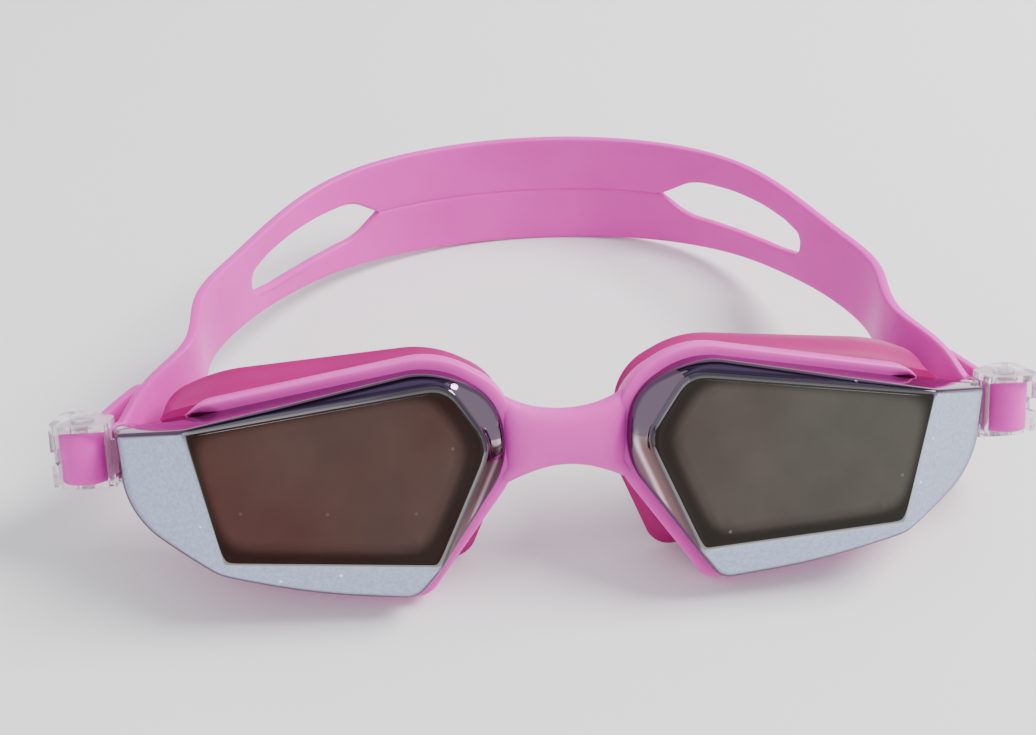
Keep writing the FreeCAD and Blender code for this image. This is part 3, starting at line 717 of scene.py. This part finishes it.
def band_columns():
    """Distances along the strap, closer together at both ends of each slot."""
    fine = np.linspace(SEAM_LEFT, SEAM_RIGHT, 2000)
    centre = spline(row_run, all_rows, fine)
    y, x = centre[:, 1] - face_origin[1], centre[:, 0]
    peak = int(np.argmax(y))
    marks = [fine[0]]
    for side, span in ((1, slice(0, peak)), (-1, slice(peak, None))):
        ends = [float(fine[span][np.argmin(np.abs(y[span] - value))]) for value in slot_span[side]]
        marks += sorted(ends)
    marks.append(fine[-1])
    columns = []
    for i, (a, b) in enumerate(zip(marks, marks[1:])):
        count = 110 if i in (1, 3) else 46 if i != 2 else 90
        t = np.linspace(0, 1, count, endpoint=i == len(marks) - 2)
        if i in (1, 3):
            t = (1 - np.cos(math.pi * t)) / 2
        columns.append(a + (b - a) * t)
    return np.concatenate(columns), marks


def band_half(columns, marks, upper):
    """The strap above or below its slots' middle line, as one row of points round its section for each
    column. Beside a slot the section is closed, and elsewhere it stays open and meets the other half.
    A shallow crease runs between the two slots' tips."""
    centre, along, wide, normal, half = band_frame(columns)
    y = centre[:, 1] - face_origin[1]
    low, high = np.zeros(len(columns)), np.zeros(len(columns))
    for side, (a, b) in ((1, (marks[1], marks[2])), (-1, (marks[3], marks[4]))):
        inside = (columns >= a - 1e-9) & (columns <= b + 1e-9)
        edges = slot_edges(y, side)
        low, high = np.where(inside, edges[0], low), np.where(inside, edges[1], high)
    start = high if upper else low
    before = columns < marks[1]
    after = columns > marks[4]
    temple = -0.12 * slot_half
    start = np.where(before | after, temple * np.ones_like(start), start)
    opened = np.clip((high - low) / 1.2, 0, 1)
    between = ((columns >= marks[2]) & (columns <= marks[3])).astype(float)
    free = half if upper else -half
    thin = strap_thick / 2
    round_edge = 0.42
    sign = 1.0 if upper else -1.0
    crease = 0.30 * between
    # (share from the slot to the free edge, distance in from the slot, from the free edge, height)
    side_points = [(0.0, 0.0, 0.0, 0), (0.0, round_edge * 0.35, 0.0, 1), (0.0, round_edge, 0.0, 2),
                   (0.0, 1.1, 0.0, 3), (0.2, 0.0, 0.0, 3), (0.4, 0.0, 0.0, 3), (0.6, 0.0, 0.0, 3),
                   (0.8, 0.0, 0.0, 3), (1.0, 0.0, 1.0, 3), (1.0, 0.0, round_edge, 4),
                   (1.0, 0.0, round_edge * 0.3, 5), (1.0, 0.0, 0.0, 6)]
    rings = []
    for face in (1.0, -1.0):
        walk = side_points if face > 0 else side_points[::-1]
        for share, from_slot, from_free, level in walk:
            place = start + (free - start) * share
            place = place + sign * from_slot * np.minimum(1, np.abs(free - start) / 3) - sign * from_free
            sink = {0: (round_edge * opened + crease), 1: round_edge * 0.35 * opened + crease * 0.6,
                    2: 0.02 * opened + crease * 0.15, 3: 0.0, 4: 0.0, 5: round_edge * 0.35, 6: round_edge}[level]
            height = (thin - sink) * face
            height = np.broadcast_to(height, place.shape)
            rings.append(centre + wide * place[:, None] + normal * height[:, None])
    rings = np.array(rings).transpose(1, 0, 2)
    rings[..., 2] = np.maximum(rings[..., 2], 0.0)
    return rings, opened


def head_strap_shells():
    """Both halves. The wall of a slot is only made where the slot is open, and both ends of the strap
    are closed flat."""
    columns, marks = band_columns()
    shells = []
    for upper in (True, False):
        rings, opened = band_half(columns, marks, upper)
        count, size = rings.shape[:2]
        index = np.arange(count * size).reshape(count, size)
        a, b = index[:-1], index[1:]
        quads = np.stack([a, np.roll(a, -1, 1), np.roll(b, -1, 1), b], -1)
        keep = np.ones(quads.shape[:2], bool)
        keep[:, -1] = (opened[:-1] > 0) | (opened[1:] > 0)
        faces = quads[keep].tolist()
        half_size = size // 2
        for row, turn in ((index[0], 1), (index[-1], -1)):
            one, two = row[:half_size], row[half_size:][::-1]
            faces += np.stack([one[:-1], one[1:], two[1:], two[:-1]], -1)[:, ::turn].tolist()
        shells.append((rings.reshape(-1, 3), faces))
    return shells


made = piece("head_strap_band", head_strap_shells(), strap_silicone)
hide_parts("head_strap")
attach(made, "front")

# ---- strap ends ----


def strap_end_rings(side):
    """A rounded rectangle carried from the tail's free tip, along the outer strand, half round the
    post, along the inner strand and up the neck to the band's seam."""
    half = strand_width / 2
    exit_flat = post + outward * loop_radius + strand * 6.0
    exit_point = np.array([*exit_flat, strand_mid])
    knots = np.array([np.array([*(exit_flat - strand * 2.0), strand_mid]), exit_point,
                      exit_point + (tail_tip - exit_point) * 0.5, tail_tip])
    run = np.concatenate([[0], np.cumsum(np.linalg.norm(np.diff(knots, axis=0), axis=1))])
    tail = spline(run, knots, np.linspace(run[-1], 0, 48))
    tail_half = np.interp(np.linspace(run[-1], 0, 48), [0, run[-1]], [half, half - 0.4])
    tip = run[-1] - np.linspace(run[-1], 0, 48)
    tail_half = tail_half * np.sqrt(np.clip(1 - (1 - np.clip(tip / 3.2, 0, 1)) ** 2, 0.02, 1))
    down = np.linspace(4.0, 0, 12)[1:]
    outer = post + outward * loop_radius + strand * down[:, None]
    turns = np.linspace(0, math.pi, 40)[1:, None]
    bend = post + loop_radius * (outward * np.cos(turns) - strand * np.sin(turns))
    inner = post - outward * loop_radius + strand * np.linspace(0, 4.0, 12)[1:-1, None]
    flat = np.vstack([outer, bend, inner])
    clip_path = np.column_stack([flat, np.full(len(flat), strand_mid)])
    path = np.vstack([tail, clip_path]) * np.array([side, 1.0, 1.0])
    clip_centre = to_table(path)
    clip_half = np.concatenate([tail_half, np.full(len(flat), half)])
    clip_wide = np.tile(face_up, (len(path), 1))
    neck = np.linspace(row_run[0], SEAM_LEFT, 46) if side > 0 else np.linspace(row_run[-1], SEAM_RIGHT, 46)
    centre, along, wide, normal, neck_half = band_frame(neck)
    centre, wide = np.vstack([clip_centre, centre]), np.vstack([clip_wide, wide])
    widths = np.concatenate([clip_half, neck_half])
    along = np.gradient(centre, axis=0)
    along /= np.linalg.norm(along, axis=1)[:, None]
    if side > 0:
        along[-1] = band_frame([SEAM_LEFT])[1][0]
    else:
        along[-1] = -band_frame([SEAM_RIGHT])[1][0]
    wide = wide - along * (wide * along).sum(1)[:, None]
    wide /= np.linalg.norm(wide, axis=1)[:, None]
    normal = np.cross(wide, along)
    thin, round_edge = strap_thick / 2, 0.42
    section = []
    for face in (1, -1):
        walk = [(1, 0.0, round_edge), (1, round_edge * 0.3, round_edge * 0.35), (1, round_edge, 0.0),
                (0.72, 0, 0), (0.4, 0, 0), (0.1, 0, 0), (-0.1, 0, 0), (-0.4, 0, 0), (-0.72, 0, 0),
                (-1, -round_edge, 0.0), (-1, -round_edge * 0.3, round_edge * 0.35), (-1, 0.0, round_edge)]
        section += [(share, inset, (thin - sink) * face) for share, inset, sink in (walk if face > 0 else walk[::-1])]
    share, inset, height = (np.array(values) for values in zip(*section))
    place = widths[:, None] * share - inset * np.minimum(1, widths[:, None] / 2)
    return centre[:, None] + wide[:, None] * place[..., None] + normal[:, None] * height[:, None]


for side, sign in (("left", 1), ("right", -1)):
    rings = strap_end_rings(sign)
    made = piece("strap_end_loop_" + side, [skin(rings)], strap_silicone)
    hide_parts("strap_end_" + side)
    seam = band_frame([SEAM_LEFT if sign > 0 else SEAM_RIGHT])[0][0] * MM
    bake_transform(made)

# ---- clear pieces: their CAD shapes, with moulded edges ----

for name, node in nodes.items():
    kind = name.rsplit("_", 1)[0]
    if kind not in ("side_clip", "strap_post", "release_lever", "hinge_pin", "lever_pin"):
        continue
    finish = pin_plastic if kind in ("hinge_pin", "lever_pin") else clip_plastic
    node.data.materials.clear()
    node.data.materials.append(finish)
    weld = node.modifiers.new("weld", "WELD")
    weld.merge_threshold = 0.002 * MM
    if kind in ("side_clip", "release_lever"):
        soften = node.modifiers.new("moulded_edges", "BEVEL")
        soften.width = 0.22 * MM
        soften.segments = 3
        soften.limit_method = "ANGLE"
        soften.angle_limit = math.radians(35)
        soften.harden_normals = False

# ---- table, light and camera ----


def stage_card(name, centre, facing, width, height, strength, colour_pairs, scale, across=None):
    """A flat glowing card that faces a point, seen only as a reflection. Its two colours mix by slow
    noise, or by the place along one axis, which runs from the first to the second and back."""
    corners = np.array([(-0.5, -0.5), (0.5, -0.5), (0.5, 0.5), (-0.5, 0.5)]) * np.array([width, height])
    towards = Vector(facing) - Vector(centre)
    turn = towards.to_track_quat("Z", "Y").to_matrix()
    points = [Vector(centre) + turn @ Vector((x, y, 0)) for x, y in corners]
    mesh = bpy.data.meshes.new(name)
    mesh.from_pydata([tuple(p) for p in points], [], [(0, 1, 2, 3)])
    material = bpy.data.materials.new(name)
    material.use_nodes = True
    tree = material.node_tree
    tree.nodes.remove(tree.nodes["Principled BSDF"])
    glow = add(tree, "ShaderNodeEmission", Strength=strength)
    texture = noise(tree, scale, 2.0)
    share = spread(tree, texture.outputs["Fac"], 0.38, 0.62, 0.0, 1.0)
    if across:
        axis, middle, reach, waver = across
        place = add(tree, "ShaderNodeTexCoord")
        parts = add(tree, "ShaderNodeSeparateXYZ")
        tree.links.new(place.outputs["Object"], parts.inputs["Vector"])
        offset = add(tree, "ShaderNodeMath", operation="SUBTRACT")
        tree.links.new(parts.outputs[axis], offset.inputs[0])
        offset.inputs[1].default_value = middle
        size = add(tree, "ShaderNodeMath", operation="ABSOLUTE")
        tree.links.new(offset.outputs[0], size.inputs[0])
        wavy = add(tree, "ShaderNodeMath", operation="MULTIPLY_ADD")
        tree.links.new(texture.outputs["Fac"], wavy.inputs[0])
        wavy.inputs[1].default_value = waver
        tree.links.new(size.outputs[0], wavy.inputs[2])
        share = spread(tree, wavy.outputs[0], 0.5 * waver, reach + 0.5 * waver, 1.0, 0.0)
    tree.links.new(blend_colours(tree, share, *colour_pairs), glow.inputs["Color"])
    tree.links.new(glow.outputs["Emission"], tree.nodes["Material Output"].inputs["Surface"])
    mesh.materials.append(material)
    card = bpy.data.objects.new(name, mesh)
    bpy.context.scene.collection.objects.link(card)
    card.visible_camera = False
    card.visible_diffuse = False
    card.visible_shadow = False
    card.visible_transmission = False
    return card


def table_top():
    mesh = bpy.data.meshes.new("table_top")
    size = 3.0
    mesh.from_pydata([(-size, -size, 0), (size, -size, 0), (size, size, 0), (-size, size, 0)], [], [(0, 1, 2, 3)])
    material, tree, shader = new_material("table_pale")
    mottled = noise(tree, 40.0, 4.0)
    tree.links.new(blend_colours(tree, mottled.outputs["Fac"], (0.88, 0.88, 0.88), (0.90, 0.90, 0.90)),
                   shader.inputs["Base Color"])
    shader.inputs["Roughness"].default_value = 0.9
    shader.inputs["Specular IOR Level"].default_value = 0.1
    mesh.materials.append(material)
    table = bpy.data.objects.new("table_top", mesh)
    bpy.context.scene.collection.objects.link(table)


def area_light(name, at, towards, size, watts, colour=(1, 1, 1)):
    light = bpy.data.lights.new(name, "AREA")
    light.shape = "DISK"
    light.size = size
    light.energy = watts
    light.color = colour
    lamp = bpy.data.objects.new(name, light)
    lamp.location = at
    lamp.rotation_euler = (Vector(towards) - Vector(at)).to_track_quat("-Z", "Y").to_euler()
    bpy.context.scene.collection.objects.link(lamp)


table_top()
stage_card("warm_dark_card", (0.05, -0.62, 0.20), (0.0, -0.05, 0.02), 1.15, 0.44, 1.0,
           ((0.235, 0.225, 0.20), (0.215, 0.105, 0.095)), 7.0, ("X", -0.14, 0.36, 0.5))
stage_card("dusk_card", (0.08, 0.26, 0.58), (0.0, -0.05, 0.02), 0.95, 0.62, 1.0,
           ((0.075, 0.06, 0.11), (0.34, 0.31, 0.44)), 5.0, ("Y", 0.24, 0.17, 0.0))
area_light("key", (0.75, 0.10, 0.85), (0, 0, 0), 0.60, 21.0, (1.0, 0.98, 0.97))
area_light("fill", (-0.55, -0.55, 0.80), (0, 0, 0), 0.9, 1.5, (0.95, 0.97, 1.0))

world = bpy.data.worlds.new("soft_light")
bpy.context.scene.world = world
world.use_nodes = True
world.node_tree.nodes["Background"].inputs["Color"].default_value = (0.94, 0.96, 1.0, 1.0)
world.node_tree.nodes["Background"].inputs["Strength"].default_value = 0.95

camera_place = to_table(np.array([-25.400, -200.179, 54.819])) * MM
look = np.array([0.08322, 0.97399, -0.21075])
look_up = np.array([0.05133, 0.20701, 0.97699])
look, look_up = (d[0] * face_side + d[1] * face_back + d[2] * face_up for d in (look, look_up))
right = np.cross(look, look_up)
camera_data = bpy.data.cameras.new("view")
camera_data.sensor_width = 36.0
camera_data.lens = 43.44
camera_data.clip_start = 0.005
camera = bpy.data.objects.new("view", camera_data)
camera.matrix_world = Matrix([(*row, place) for row, place in zip(np.column_stack([right, look_up, -look]),
                                                                camera_place)] + [(0, 0, 0, 1)])
bpy.context.scene.collection.objects.link(camera)
bpy.context.scene.camera = camera
